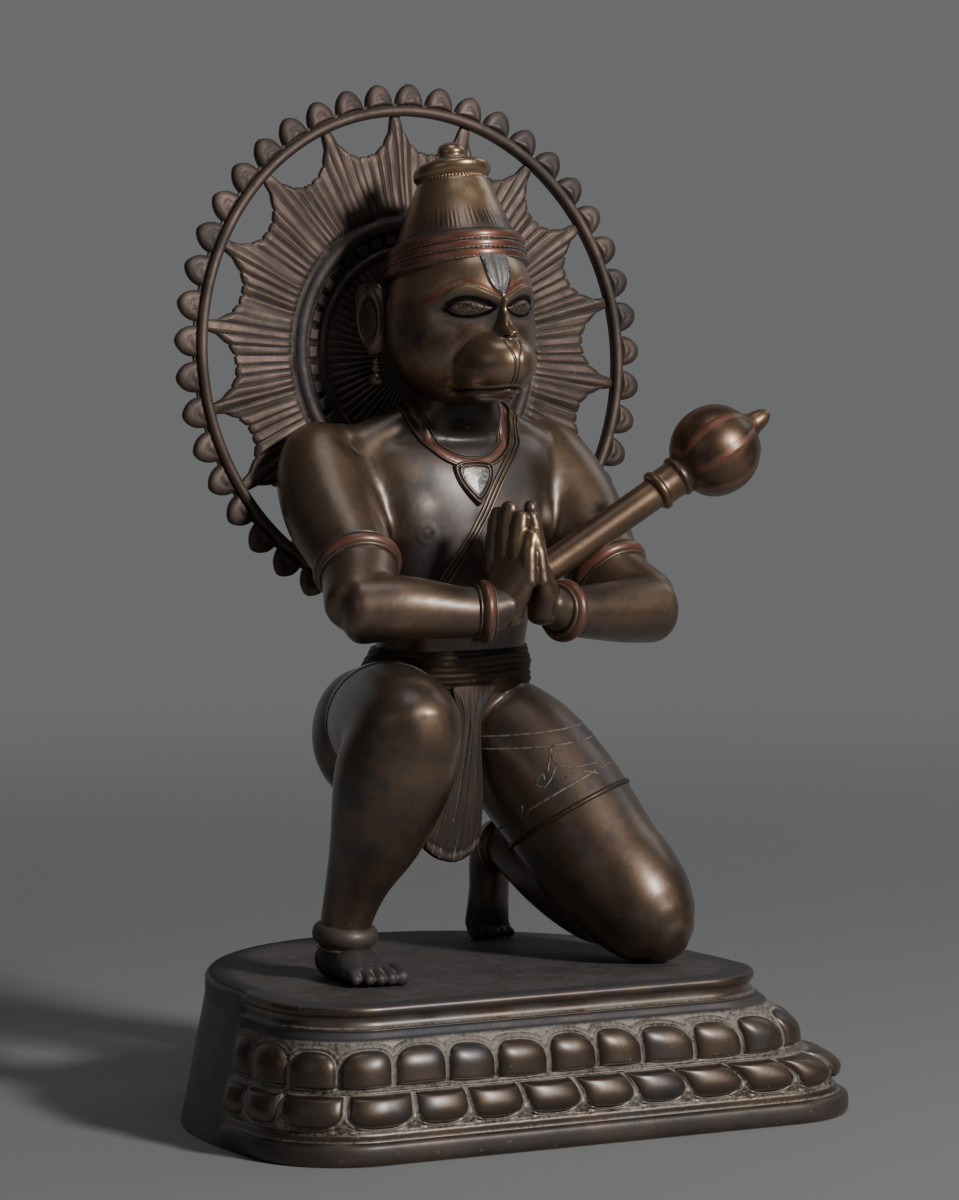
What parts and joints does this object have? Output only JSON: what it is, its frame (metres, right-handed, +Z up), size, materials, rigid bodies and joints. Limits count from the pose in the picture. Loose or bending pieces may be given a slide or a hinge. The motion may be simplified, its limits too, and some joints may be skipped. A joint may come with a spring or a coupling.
{
  "type": "kneeling hanuman figure",
  "caption": "Cast bronze kneeling monkey deity with joined hands, mace in the arm and a pierced round halo, on a lotus plinth.",
  "frame": {"origin": "on the plinth's underside, below the middle of the figure", "axes": "+Z up, the figure faces -Y, +X towards the figure's left hand"},
  "size_m": [0.2574, 0.1978, 0.403],
  "materials": {
    "plinth_bronze": "dark worn patina with pale dust in the recesses",
    "figure_bronze": "polished dark olive brown patina, golden where worn, copper and silver inlay",
    "halo_bronze": "matter grey brown patina with pale dust in the flutes",
    "mace_bronze": "polished brown patina with copper red lines"
  },
  "bodies": {
    "root": {"plinth": "plinth_bronze", "figure": "figure_bronze", "halo": "halo_bronze", "mace": "mace_bronze"}
  },
  "joints": []
}
